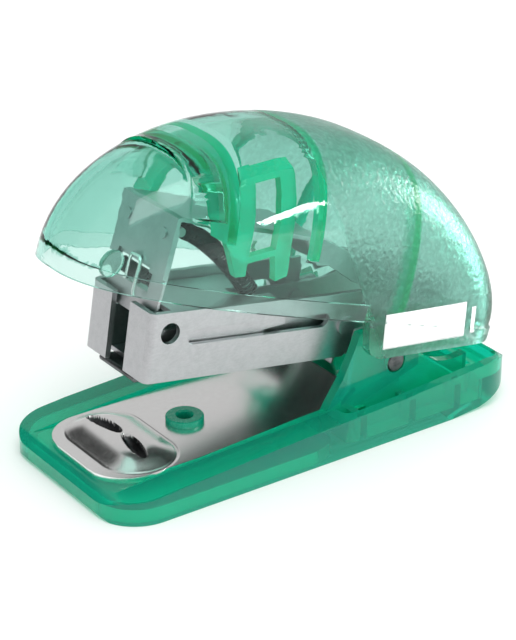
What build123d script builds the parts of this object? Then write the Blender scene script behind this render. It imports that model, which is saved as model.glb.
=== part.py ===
from build123d import *
from math import cos, sin, radians, pi
import os

os.makedirs("parts", exist_ok=True)

# A small translucent stapler, in millimetres. +X runs from the mouth to the hinge,
# +Y across, +Z up, and the origin is on the table under the middle of the base.

# ---- driving dimensions ----
base_length = 67.0
base_width = 30.5
base_corner = 6.5
base_wall = 1.5
base_front_height = 3.2
base_mid_height = 5.2
base_rear_height = 7.0
front = -base_length / 2
rear = base_length / 2
side = base_width / 2

sheet = 0.8
plate_top = 4.0
plate_half = 10.0
plate_front = front + 2.2
plate_ramp_start = -1.6
boss_at = (-13.6, 0)
boss_radius = 2.65
ramp_top = 7.3

pin_radius = 1.5
handle_pin_radius = 1.25
running_clearance = 0.05

# The magazine turns on the main pin, and the handle on a pin at the rail's tail.
main_pin = (14.0, 9.4)
tail_pin = (24.4, 15.6)
magazine_tilt = 9.1
handle_tilt = 18.3

channel_front = -39.1
channel_rear = -5.0
rivet_at = (-6.9, 4.9)
channel_bottom = 0.15
channel_top = 9.8
channel_half = 7.35
flange_width = 5.2
rail_half = 5.4
rail_wall = 0.6
rail_front = -36.6
rail_bottom = 0.8
rail_top = 6.6
saddle_half = 6.3
saddle_front = -33.8
saddle_rear = -19.9
saddle_top = 8.6

cover_centre = (-24.94, -2.61)
cover_front = 35.25
cover_rear = 32.3
cover_top = 23.1
cover_half = 14.45
cover_wall = 1.5
widest = 8.4
front_plan_power = 2.7
rear_plan_power = 7.5
section_power = 2.9
skirt_front = -17.8
lip_wall = 0.85
lip_height = 2.2
# each inner arch: its station, thickness and depth, and how high its feet end
arches = (
    (-20.4, 6.4, 0.7, 8.0),
    (-17.1, 1.3, 3.6, 5.6),
    (-4.1, 1.3, 1.0, 4.8),
    (12.9, 1.3, 1.4, cover_centre[1]),
)

driver_half = 6.4
driver_line = -47.05
driver_top = 7.0
driver_foot = -7.5
carrier_foot = -1.2


def side_plane(pin, tilt):
    """The upright plane through a pin, turned nose up, with its x to the rear."""
    lean = radians(tilt)
    return Plane(
        origin=(pin[0], 0, pin[1]),
        x_dir=(cos(lean), 0, -sin(lean)),
        z_dir=(0, -1, 0),
    )


upright = Plane.XZ
magazine_side = side_plane(main_pin, magazine_tilt)
handle_side = side_plane(tail_pin, handle_tilt)


def in_frame(plane, along, up, across=0.0):
    """A point of a side plane as a point of the model."""
    return plane.origin + plane.x_dir * along + plane.y_dir * up + Vector(0, across, 0)


def save(part, name):
    part.label = name
    export_step(part, "parts/" + name + ".step")


# ---- base shell: a shallow open tray with a tower for the main pin ----
tower_half = 11.2
tower_wall = 1.4
tower_top = 15.4
swing_radius = 8.6
pocket_floor = 1.3
rear_floor = 4.4
pocket_ribs = (6.0, 14.5, 22.5)

with BuildPart() as base_shell:
    with BuildSketch(upright) as base_side:
        with BuildLine():
            Polyline(
                (front, 0.6),
                (front, base_front_height - 0.8),
                (front + 1.6, base_front_height),
                (front + 10, plate_top),
                (-2, base_mid_height),
                (12, 5.8),
                (28.5, base_rear_height),
                (31.5, base_rear_height - 0.6),
                (rear, 5.0),
                (rear - 1.6, 2.4),
                (26.0, 0.5),
                (21.0, 0),
                (front + 0.6, 0),
                close=True,
            )
        make_face()
    extrude(amount=side, both=True)
    with BuildSketch(Plane.XY) as base_plan:
        Rectangle(base_length, base_width)
        fillet(base_plan.vertices(), base_corner)
    extrude(amount=30, mode=Mode.INTERSECT)
    # the seat of the steel plate
    with BuildSketch(Plane.XY.offset(plate_top - sheet)):
        with Locations(((plate_front + 9.5) / 2, 0)):
            Rectangle(9.5 - plate_front, 2 * plate_half + 0.4)
    extrude(amount=10, mode=Mode.SUBTRACT)
    # the hollow underside of the front
    with BuildSketch(Plane.XY):
        with Locations((-15.0, 0)):
            RectangleRounded(34, base_width - 2 * base_wall, base_corner - base_wall)
    extrude(amount=1.9, mode=Mode.SUBTRACT)
    with BuildSketch(Plane.XY):
        with Locations(boss_at):
            Circle(1.85)
    extrude(amount=10, mode=Mode.SUBTRACT)
    # open pockets along both sides and across the rear
    with BuildSketch(Plane.XY.offset(pocket_floor)):
        with Locations((15.5, 0)):
            RectangleRounded(24.0, base_width - 2 * base_wall, 1.5)
    extrude(amount=12, mode=Mode.SUBTRACT)
    with BuildSketch(Plane.XY.offset(rear_floor)):
        with Locations((27.0, 0)):
            RectangleRounded(9.6, base_width - 2 * base_wall, 3.5)
    extrude(amount=12, mode=Mode.SUBTRACT)
    with BuildSketch(Plane.XY.offset(pocket_floor)):
        for x in pocket_ribs:
            with Locations((x, 0)):
                Rectangle(1.1, base_width - 2 * base_wall + 0.2)
    extrude(amount=base_mid_height - pocket_floor - 0.4)
    # the tower walls, cut back round the tail pin so that the cover can swing
    with BuildSketch(upright):
        with BuildLine():
            Polyline(
                (8.2, pocket_floor - 0.1),
                (9.8, 8.5),
                (10.1, tower_top),
                (tail_pin[0], tower_top),
                (26.6, tower_top),
                (26.6, pocket_floor - 0.1),
                close=True,
            )
        make_face()
        with Locations(tail_pin):
            Circle(swing_radius, mode=Mode.SUBTRACT)
        with Locations(main_pin):
            Circle(pin_radius + running_clearance, mode=Mode.SUBTRACT)
        with Locations((26, tower_top)):
            Rectangle(6, 12, mode=Mode.SUBTRACT)
    extrude(amount=tower_half, both=True)
    with BuildSketch(Plane.XY.offset(pocket_floor)):
        with Locations((17, 0)):
            Rectangle(23.6, 2 * (tower_half - tower_wall))
    extrude(amount=20, mode=Mode.SUBTRACT)
    # webs in front of the towers, which follow the plate's ramp
    with BuildSketch(upright.offset(-tower_half)) as web:
        with BuildLine():
            Polyline(
                (1.4, base_mid_height - 1.0),
                (2.6, 6.2),
                (4.8, 9.4),
                (6.6, 13.0),
                (7.6, tower_top),
                (10.2, tower_top),
                (10.2, base_mid_height - 1.0),
                close=True,
            )
        make_face()
    extrude(amount=tower_wall)
    extrude(web.sketch.moved(Location((0, tower_wall - 2 * tower_half, 0))), amount=tower_wall)
save(base_shell.part, "base_shell")

# ---- steel base plate with its pressed anvil and the ears that carry the pin ----
ear_outer = tower_half - tower_wall - 0.05
ear_inner = ear_outer - sheet
anvil_at = (-24.0, 0)

with BuildPart() as base_plate:
    with BuildSketch(upright):
        with BuildLine():
            Polyline(
                (plate_front, plate_top - sheet),
                (plate_ramp_start, plate_top - sheet),
                (3.6, plate_top - 0.2),
                (6.0, 5.2),
                (7.4, ramp_top),
                (6.6, ramp_top),
                (5.3, 5.9),
                (3.2, plate_top + 0.6),
                (plate_ramp_start, plate_top),
                (plate_front, plate_top),
                close=True,
            )
        make_face()
    extrude(amount=ear_outer, both=True)
    with BuildSketch(Plane.XY) as plate_plan:
        with Locations(((plate_front + 20) / 2, 0)):
            Rectangle(20 - plate_front, 2 * ear_outer)
        fillet(plate_plan.vertices().group_by(Axis.X)[0], 6)
    extrude(amount=30, mode=Mode.INTERSECT)
    with BuildSketch(Plane.XY.offset(plate_top - 0.1)):
        with Locations(anvil_at):
            SlotOverall(18.6, 10.6, rotation=90)
    extrude(amount=1.5, taper=32)
    with BuildSketch(Plane.XY.offset(plate_top + 0.5)):
        with Locations((anvil_at[0], 4.3), (anvil_at[0], -4.3)):
            SlotOverall(6.4, 1.7, rotation=90)
    extrude(amount=3, mode=Mode.SUBTRACT)
    with Locations((boss_at[0], 0, plate_top)):
        Hole(1.9, 4)
    with BuildSketch(upright.offset(-ear_outer)) as ear:
        with BuildLine():
            Polyline(
                (6.6, ramp_top - 0.4),
                (7.3, 12.0),
                (8.2, 15.2),
                (14.5, 15.2),
                (18.6, 11.2),
                (18.6, 7.4),
                (8.0, 4.2),
                (5.4, 4.8),
                close=True,
            )
        make_face()
        with Locations(main_pin):
            Circle(pin_radius + running_clearance, mode=Mode.SUBTRACT)
    extrude(amount=sheet)
    extrude(ear.sketch.moved(Location((0, -2 * ear_outer + sheet, 0))), amount=sheet)
save(base_plate.part, "base_plate")

# ---- hollow boss that holds the plate down on the shell ----
with BuildPart() as plate_boss:
    with BuildSketch(Plane.XY.offset(1.9)):
        with Locations(boss_at):
            Circle(1.8)
            Circle(1.15, mode=Mode.SUBTRACT)
    extrude(amount=plate_top - 1.9)
    with BuildSketch(Plane.XY.offset(plate_top)):
        with Locations(boss_at):
            Circle(boss_radius)
            Circle(1.15, mode=Mode.SUBTRACT)
    extrude(amount=0.9)
    fillet(plate_boss.faces().sort_by(Axis.Z)[-1].edges(), 0.25)
save(plate_boss.part, "plate_boss")

# ---- main pin and the two bushes that centre the rail on it ----
with BuildPart() as pivot_pin:
    with BuildSketch(upright):
        with Locations(main_pin):
            Circle(pin_radius)
    extrude(amount=tower_half, both=True)
    chamfer(pivot_pin.edges().filter_by(GeomType.CIRCLE), 0.25)
save(pivot_pin.part, "pivot_pin")

bush_length = ear_inner - rail_half - 0.4
with BuildPart() as pivot_bushes:
    with BuildSketch(upright.offset(-(rail_half + 0.2 + bush_length))):
        with Locations(main_pin):
            Circle(2.6)
            Circle(pin_radius + running_clearance, mode=Mode.SUBTRACT)
    extrude(amount=bush_length)
    mirror(about=Plane.XZ)
save(pivot_bushes.part, "pivot_bushes")

# ---- leaf that lifts the magazine off the plate ----
with BuildPart() as return_spring:
    with BuildSketch(upright):
        with BuildLine() as leaf_line:
            Polyline(
                (20.5, 1.75),
                (13.5, 1.75),
                (10.6, 3.4),
                (9.0, 7.4),
                (9.5, 9.0),
            )
            offset(amount=0.2)
        make_face()
    extrude(amount=3.2, both=True)
save(return_spring.part, "return_spring")

leaf_screw_at = (18.6, 0)
with BuildPart() as leaf_rivet:
    with BuildSketch(Plane.XY.offset(1.96)):
        with Locations(leaf_screw_at):
            Circle(1.7)
    extrude(amount=0.8)
    fillet(leaf_rivet.faces().sort_by(Axis.Z)[-1].edges(), 0.5)
save(leaf_rivet.part, "leaf_rivet")

# ---- magazine channel: two walls folded in at the front ----
with BuildPart() as magazine_channel:
    with BuildSketch(magazine_side.offset(-channel_half)):
        with BuildLine():
            Polyline(
                (channel_front, channel_bottom),
                (channel_rear - 1.6, channel_bottom),
                (channel_rear, channel_bottom + 1.6),
                (channel_rear, channel_top),
                (channel_front, channel_top),
                close=True,
            )
        make_face()
    extrude(amount=2 * channel_half)
    fillet(
        magazine_channel.edges().filter_by(lambda e: abs(e.length - (channel_top - channel_bottom)) < 0.01)
        .group_by(Axis.X)[0],
        1.0,
    )
    # the floor stops short of the front flanges and leaves the slot for the driver
    with BuildSketch(magazine_side.offset(-(channel_half - sheet))):
        with BuildLine():
            Polyline(
                (channel_front + sheet, -1),
                (rail_front, -1),
                (rail_front, rail_bottom - 0.02),
                (channel_rear + 2, rail_bottom - 0.02),
                (channel_rear + 2, 12),
                (channel_front + sheet, 12),
                close=True,
            )
        make_face()
    extrude(amount=2 * (channel_half - sheet), mode=Mode.SUBTRACT)
    mouth = channel_half - flange_width
    with BuildSketch(magazine_side.offset(-mouth)):
        with Locations((channel_front, 5)):
            Rectangle(3, 12)
    extrude(amount=2 * mouth, mode=Mode.SUBTRACT)
    with BuildSketch(magazine_side.offset(-10)):
        with Locations((-35.9, 6.9)):
            Circle(1.45)
        with Locations((-21.5, 6.0)):
            SlotOverall(23, 2.1)
        with Locations(rivet_at):
            Circle(0.95)
    extrude(amount=20, mode=Mode.SUBTRACT)
save(magazine_channel.part, "magazine_channel")

# ---- staple rail: an inner channel whose tail carries both pins ----
tail = (
    (tail_pin[0] - main_pin[0]) * cos(radians(magazine_tilt))
    - (tail_pin[1] - main_pin[1]) * sin(radians(magazine_tilt)),
    (tail_pin[0] - main_pin[0]) * sin(radians(magazine_tilt))
    + (tail_pin[1] - main_pin[1]) * cos(radians(magazine_tilt)),
)
with BuildPart() as staple_rail:
    with BuildSketch(magazine_side.offset(-rail_half)):
        with BuildLine():
            Polyline(
                (rail_front, rail_bottom),
                (-5.4, rail_bottom),
                (-4.2, -0.6),
                (-2.2, -1.9),
                (1.2, -2.4),
                (2.8, -0.4),
                (tail[0] + 1.6, tail[1] - 1.7),
                (tail[0] + 2.0, tail[1] + 1.4),
                (tail[0] - 1.8, tail[1] + 2.4),
                (-2.0, 7.0),
                (-9.0, rail_top),
                (rail_front, rail_top),
                close=True,
            )
        make_face()
        with Locations((0, 0)):
            Circle(pin_radius + running_clearance, mode=Mode.SUBTRACT)
        with Locations(tail):
            Circle(handle_pin_radius + running_clearance, mode=Mode.SUBTRACT)
        with Locations(rivet_at):
            Circle(0.95, mode=Mode.SUBTRACT)
    extrude(amount=2 * rail_half)
    with BuildSketch(magazine_side.offset(-(rail_half - rail_wall))):
        with Locations((-10, 6.7)):
            Rectangle(70, 12)
        with Locations((5.5, 0)):
            Rectangle(16, 20)
    extrude(amount=2 * (rail_half - rail_wall), mode=Mode.SUBTRACT)
save(staple_rail.part, "staple_rail")

# ---- shoe under the rail, with a round nose ----
with BuildPart() as rail_shoe:
    with BuildSketch(magazine_side.offset(-4.2)):
        with Locations((-23.2, -0.42)):
            SlotOverall(31.0, 0.95)
    extrude(amount=8.4)
save(rail_shoe.part, "rail_shoe")

with BuildPart() as channel_rivets:
    with BuildSketch(magazine_side.offset(rail_half - rail_wall - 0.35)):
        with Locations(rivet_at):
            Circle(0.9)
    extrude(amount=channel_half - rail_half + rail_wall + 0.35)
    with BuildSketch(magazine_side.offset(channel_half)):
        with Locations(rivet_at):
            Circle(1.4)
    extrude(amount=0.45)
    with BuildSketch(magazine_side.offset(rail_half)):
        with Locations(rivet_at):
            Circle(1.5)
    extrude(amount=channel_half - sheet - rail_half)
    mirror(about=Plane.XZ)
save(channel_rivets.part, "channel_rivets")

with BuildPart() as handle_pin:
    with BuildSketch(upright):
        with Locations(tail_pin):
            Circle(handle_pin_radius)
    extrude(amount=driver_half + 0.6, both=True)
    with BuildSketch(upright.offset(driver_half + 0.1)):
        with Locations(tail_pin):
            Circle(1.9)
    extrude(amount=0.6)
    mirror(about=Plane.XZ)
save(handle_pin.part, "handle_pin")

# ---- pusher: a saddle that slides on the rail, with a cross peg behind it ----
with BuildPart() as pusher:
    with BuildSketch(magazine_side.offset(-saddle_half)):
        with BuildLine():
            Polyline(
                (saddle_front, 1.2),
                (saddle_rear, 1.2),
                (saddle_rear, 5.2),
                (saddle_rear + 3.4, 5.6),
                (saddle_rear + 3.4, saddle_top),
                (saddle_front, saddle_top),
                close=True,
            )
        make_face()
    extrude(amount=2 * saddle_half)
    with BuildSketch(magazine_side.offset(-(saddle_half - 0.7))):
        with Locations((-26, 4)):
            Rectangle(30, 2 * (saddle_top - 0.7 - 4))
    extrude(amount=2 * (saddle_half - 0.7), mode=Mode.SUBTRACT)
    with BuildSketch(magazine_side.offset(-1.6)):
        with Locations((-18.6, saddle_top - 0.3)):
            Rectangle(6, 3)
    extrude(amount=3.2, mode=Mode.SUBTRACT)
save(pusher.part, "pusher")

with BuildPart() as pusher_peg:
    with BuildSketch(magazine_side.offset(-(saddle_half - 0.72))):
        with Locations((-17.6, 7.25)):
            Circle(0.5)
    extrude(amount=2 * (saddle_half - 0.72))
save(pusher_peg.part, "pusher_peg")

# ---- pulled coil between the carrier and the pusher, as its outer tube ----
pull_radius = 1.35
with BuildPart() as pusher_spring:
    with BuildLine():
        coil_path = Spline(
            (-13.2, 0, 32.0),
            (-10.7, 0, 30.0),
            (-8.4, 0, 27.6),
            (-5.9, 0, 24.4),
            (-3.4, 0, 20.9),
        )
    with BuildSketch(Plane(origin=coil_path @ 0, z_dir=coil_path % 0)):
        Circle(pull_radius)
    sweep()
save(pusher_spring.part, "pusher_spring")

# ---- carrier: the sheet metal arm of the handle, with cheeks at its tail ----
coil_at = (-46.2, -2.4)
coil_end = 4.6
coil_radius = 1.05
arm_line = (
    (driver_line, driver_top - 0.3),
    (driver_line + 0.5, driver_top - 0.1),
    (-41.0, 6.75),
    (-32.7, 6.5),
    (-23.2, 5.8),
    (-19.4, 4.8),
    (-14.3, 3.1),
    (-9.0, 1.6),
)
arm_sheet = 0.6
cheek_inner = rail_half + 0.15
with BuildPart() as carrier_arm:
    with BuildSketch(handle_side):
        with BuildLine():
            Polyline(*arm_line)
            offset(amount=arm_sheet / 2)
        make_face()
    extrude(amount=driver_half, both=True)
    for start in (cheek_inner, -driver_half):
        with BuildSketch(handle_side.offset(start)):
            with BuildLine():
                Polyline(
                    (-26.0, 5.9),
                    (-24.0, 3.8),
                    (-16.0, 0.6),
                    (-6.0, -2.0),
                    (-1.8, -2.2),
                    (2.2, -1.6),
                    (2.2, 2.0),
                    (-9.0, 1.7),
                    (-14.3, 3.2),
                    (-19.4, 4.9),
                    close=True,
                )
            make_face()
            Circle(handle_pin_radius + running_clearance, mode=Mode.SUBTRACT)
        extrude(amount=driver_half - cheek_inner)
    # the turned-down front, with the notch at its foot
    with BuildSketch(handle_side.offset(-driver_half)):
        with Locations((driver_line, (carrier_foot + driver_top) / 2)):
            Rectangle(arm_sheet, driver_top - carrier_foot)
    extrude(amount=2 * driver_half)
    with BuildSketch(handle_side.offset(-coil_end)):
        with Locations((driver_line, carrier_foot)):
            Rectangle(3, 2.0)
    extrude(amount=coil_end + 3.2, mode=Mode.SUBTRACT)
save(carrier_arm.part, "carrier_arm")

# ---- driver blade, with a window for the foot coil, and its rivets ----
blade = 0.42
blade_line = driver_line + (arm_sheet + blade) / 2 + 0.01
with BuildPart() as driver_blade:
    with BuildSketch(handle_side.offset(-driver_half + 0.25)):
        with Locations((blade_line, (driver_foot + driver_top - 1.6) / 2)):
            Rectangle(blade, driver_top - 1.6 - driver_foot)
    extrude(amount=2 * driver_half - 0.5)
    with BuildSketch(handle_side.offset(-coil_end)):
        with Locations(coil_at):
            Rectangle(2, 2 * coil_radius + 1.0)
    extrude(amount=coil_end + 3.2, mode=Mode.SUBTRACT)
save(driver_blade.part, "driver_blade")

carrier_front = Plane(
    origin=in_frame(handle_side, driver_line - arm_sheet / 2, 4.4),
    x_dir=(0, 1, 0),
    z_dir=handle_side.x_dir * -1,
)
with BuildPart() as blade_rivets:
    with BuildSketch(carrier_front):
        with GridLocations(8.4, 1, 2, 1):
            Circle(0.75)
    extrude(amount=0.25)
save(blade_rivets.part, "blade_rivets")

# ---- cross peg behind the carrier that the pulled coil hangs on ----
with BuildPart() as spring_peg:
    with BuildSketch(handle_side.offset(-3.0)):
        with Locations((-43.6, 4.3)):
            Circle(0.6)
    extrude(amount=6.0)
save(spring_peg.part, "spring_peg")

# ---- black torsion coil in the driver's window, on its peg ----
with BuildPart() as foot_coil:
    with BuildSketch(handle_side.offset(-coil_end + 0.2)):
        with Locations(coil_at):
            Circle(coil_radius)
            Circle(0.55, mode=Mode.SUBTRACT)
    extrude(amount=coil_end + 2.8)
save(foot_coil.part, "foot_coil")

with BuildPart() as foot_peg:
    with BuildSketch(handle_side.offset(-coil_end + 0.05)):
        with Locations(coil_at):
            Circle(0.5)
    extrude(amount=coil_end + 3.1)
save(foot_peg.part, "foot_peg")

# ---- cover: a long dome with a skirt over the hinge and ribs inside ----


def dome_width(along, front_reach, rear_reach, half_width):
    """Half width of the dome at a distance from its centre."""
    if along <= widest:
        reach, power = front_reach + widest, front_plan_power
    else:
        reach, power = rear_reach - widest, rear_plan_power
    share = min(abs(along - widest) / reach, 0.9999)
    return half_width * (1 - share**power) ** (1 / power)


def dome_height(along, front_reach, rear_reach, top):
    """Height of the dome's crown above its rim."""
    share = min(abs(along) / (front_reach if along <= 0 else rear_reach), 0.9999)
    return top * (1 - share**2) ** 0.5


def rounded_power(value):
    """The signed power that squares off an ellipse into the cover's section."""
    return (1 if value >= 0 else -1) * abs(value) ** (2 / section_power)


def dome_outline(along, inset):
    """The section of the dome at a station, from one rim to the other."""
    reach = (cover_front - inset, cover_rear - inset)
    half = dome_width(along, *reach, cover_half - inset)
    height = dome_height(along, *reach, cover_top - inset)
    steps = 14
    turns = [pi * i / steps for i in range(steps + 1)]
    return [
        (-half * rounded_power(cos(turn)), height * rounded_power(sin(turn)))
        for turn in turns
    ]


def dome_plane(along):
    """An upright plane across the handle, square to the rim."""
    return Plane(
        origin=in_frame(handle_side, cover_centre[0] + along, cover_centre[1]),
        x_dir=(0, -1, 0),
        z_dir=handle_side.x_dir * -1,
    )


def loft_dome(inset):
    """The dome drawn in by inset, as a solid, from stations crowded at both ends."""
    front_shares = (-0.9985, -0.985, -0.94, -0.86, -0.74, -0.58, -0.38, -0.14)
    rear_shares = (0.12, 0.36, 0.58, 0.76, 0.89, 0.965, 0.995)
    stations = [share * (cover_front - inset) for share in front_shares]
    stations += [share * (cover_rear - inset) for share in rear_shares]
    with BuildPart() as dome:
        for along in stations:
            with BuildSketch(dome_plane(along)):
                with BuildLine():
                    outline = dome_outline(along, inset)
                    Spline(*outline)
                    Line(outline[-1], outline[0])
                make_face()
        loft()
    return dome.part


rim_plane = Plane(
    origin=in_frame(handle_side, cover_centre[0], cover_centre[1]),
    x_dir=handle_side.x_dir,
    z_dir=handle_side.y_dir,
)
outer_dome = loft_dome(0)
inner_dome = loft_dome(cover_wall)
skirt_end = cover_rear - 0.35
skirt_length = skirt_end - (skirt_front - cover_centre[0])
skirt_middle = skirt_end - skirt_length / 2
skirt_half = cover_half - 0.1
skirt_corner = 4.0

with BuildPart() as lip_room:
    add(loft_dome(lip_wall))
    with BuildSketch(rim_plane):
        with Locations((skirt_front - cover_centre[0] - base_length / 2, 0)):
            Rectangle(base_length, 2 * base_width)
    extrude(amount=lip_height, mode=Mode.INTERSECT)

with BuildPart() as cover:
    add(outer_dome)
    add(inner_dome, mode=Mode.SUBTRACT)
    # the skirt, cut to its slanted foot
    with BuildSketch(rim_plane) as skirt_plan:
        with Locations((skirt_middle, 0)):
            Rectangle(skirt_length, 2 * skirt_half)
        fillet(skirt_plan.vertices().group_by(Axis.X)[-1], skirt_corner)
    extrude(amount=-5.6)
    with BuildSketch(rim_plane) as skirt_room:
        with Locations((skirt_middle - cover_wall, 0)):
            Rectangle(skirt_length, 2 * (skirt_half - cover_wall))
        fillet(skirt_room.vertices().group_by(Axis.X)[-1], skirt_corner - cover_wall)
    extrude(amount=-8, mode=Mode.SUBTRACT)
    with BuildSketch(handle_side.offset(-20)):
        with BuildLine():
            Polyline(
                (-21, -12),
                (-15.6, -7.3),
                (-14.4, -7.75),
                (5.0, -4.45),
                (6.4, -3.6),
                (12, -3.0),
                (12, -12),
                close=True,
            )
        make_face()
    extrude(amount=40, mode=Mode.SUBTRACT)
    with BuildSketch(handle_side.offset(-20)):
        with BuildLine():
            Polyline(
                (-25, -12),
                (-25, cover_centre[1] - 0.01),
                (skirt_front, cover_centre[1] - 0.01),
                (-16.4, -6.7),
                (-15.6, -7.4),
                (-15.6, -12),
                close=True,
            )
        make_face()
    extrude(amount=40, mode=Mode.SUBTRACT)
    # the thinner lip along the rim, in front of the skirt
    add(lip_room.part, mode=Mode.SUBTRACT)
    # arches on the inside of the dome, the first a wide shallow one
    for station, thickness, depth, foot in arches:
        with BuildSketch(dome_plane(station - thickness / 2)):
            with BuildLine():
                outline = dome_outline(station, cover_wall - 0.3)
                Spline(*outline)
                Line(outline[-1], outline[0])
            make_face()
            with BuildLine():
                hollow = dome_outline(station, cover_wall + depth)
                Spline(*hollow)
                Line(hollow[-1], hollow[0])
            make_face(mode=Mode.SUBTRACT)
            with Locations((0, 0)):
                Rectangle(2 * base_width, 2 * (foot - cover_centre[1] + 0.01), mode=Mode.SUBTRACT)
        extrude(amount=-thickness)
save(cover.part, "cover")

# ---- guard: two tall leaves joined by bars, hung from the roof beside the arm ----
guard_outer = -8.7
guard_thickness = 1.2
front_leaf = (
    (-9.8, 43.6),
    (-8.6, 43.6),
    (-8.2, 39.4),
    (-8.2, 36.0),
    (-8.6, 33.4),
    (-9.9, 27.9),
    (-11.4, 28.1),
    (-12.7, 33.6),
    (-11.5, 37.3),
)
rear_leaf = (
    (-4.9, 43.6),
    (-3.4, 43.6),
    (-2.1, 40.0),
    (-1.8, 36.4),
    (-2.2, 32.5),
    (-3.3, 26.2),
    (-5.2, 26.0),
    (-5.2, 30.0),
    (-4.3, 34.0),
    (-4.2, 38.0),
)
with BuildPart() as spring_guard:
    with BuildSketch(upright.offset(-guard_outer - guard_thickness)):
        for leaf in (front_leaf, rear_leaf):
            with BuildLine():
                Polyline(*leaf, close=True)
            make_face()
        with Locations((-6.6, 41.1)):
            Rectangle(4.6, 1.9)
        with Locations((-7.0, 30.0)):
            Rectangle(5.2, 0.9)
    extrude(amount=guard_thickness)
    add(inner_dome, mode=Mode.INTERSECT)
save(spring_guard.part, "spring_guard")
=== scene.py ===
"""A small stapler in clear green plastic and pressed steel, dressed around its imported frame."""

import logging
from dataclasses import dataclass, field
from enum import Enum
from math import cos, pi, radians, sin
from typing import Callable, Sequence

import bmesh
import bpy
from mathutils import Matrix, Vector
from mathutils.bvhtree import BVHTree


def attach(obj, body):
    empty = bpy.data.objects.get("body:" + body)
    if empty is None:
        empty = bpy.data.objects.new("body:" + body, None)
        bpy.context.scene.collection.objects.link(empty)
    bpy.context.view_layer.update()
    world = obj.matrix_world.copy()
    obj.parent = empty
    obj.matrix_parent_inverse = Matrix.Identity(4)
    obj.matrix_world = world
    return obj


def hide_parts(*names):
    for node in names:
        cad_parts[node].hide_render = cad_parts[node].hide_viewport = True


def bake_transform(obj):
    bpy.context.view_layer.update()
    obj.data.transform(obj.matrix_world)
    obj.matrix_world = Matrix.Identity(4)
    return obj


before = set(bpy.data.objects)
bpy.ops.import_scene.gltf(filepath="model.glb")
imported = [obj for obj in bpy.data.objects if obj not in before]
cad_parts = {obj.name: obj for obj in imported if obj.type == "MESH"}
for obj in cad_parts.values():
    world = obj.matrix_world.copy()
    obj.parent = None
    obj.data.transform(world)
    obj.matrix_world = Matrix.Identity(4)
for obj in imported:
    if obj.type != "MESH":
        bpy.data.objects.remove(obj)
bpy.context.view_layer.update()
log = logging.getLogger("stapler")

MM = 0.001
Colour = tuple[float, float, float]


class Body(Enum):
    """The moving groups of the frame."""

    BASE = "base"
    MAGAZINE = "magazine"
    PUSHER = "pusher"
    HANDLE = "handle"


class Slot(Enum):
    """The material slots of the record."""

    BASE_GREEN = "base_green"
    COVER_GREEN = "cover_green"
    STEEL = "pressed_steel"
    BRIGHT = "bright_plate"
    BLACK = "spring_black"


# ---------------------------------------------------------------- places


@dataclass(frozen=True)
class SideFrame:
    """An upright frame on a cross pin, with its first axis running to the rear.

    Args:
        pin: the pin's place in the model, as x and z in millimetres.
        tilt: how far the frame is turned nose up, in degrees.
    """

    pin: tuple[float, float]
    tilt: float

    def point(self, along: float, up: float, across: float = 0.0) -> Vector:
        """A point of this frame, in millimetres, as a point of the model in metres."""
        lean = radians(self.tilt)
        x = self.pin[0] + along * cos(lean) + up * sin(lean)
        z = self.pin[1] - along * sin(lean) + up * cos(lean)
        return Vector((x, across, z)) * MM

    def local(self, place: Vector) -> Vector:
        """A point of the model, in metres, as along, across and up in this frame, in millimetres."""
        return self.matrix().inverted() @ place / MM

    def matrix(self, along: float = 0.0, up: float = 0.0, across: float = 0.0) -> Matrix:
        """The transform from local metres (x rear, y across, z up) to the model."""
        turn = Matrix.Rotation(radians(self.tilt), 4, "Y")
        return Matrix.Translation(self.point(along, up, across)) @ turn


MAGAZINE_FRAME = SideFrame((14.0, 9.4), 9.1)
HANDLE_FRAME = SideFrame((24.4, 15.6), 18.3)


# ---------------------------------------------------------------- shader helpers


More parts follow.
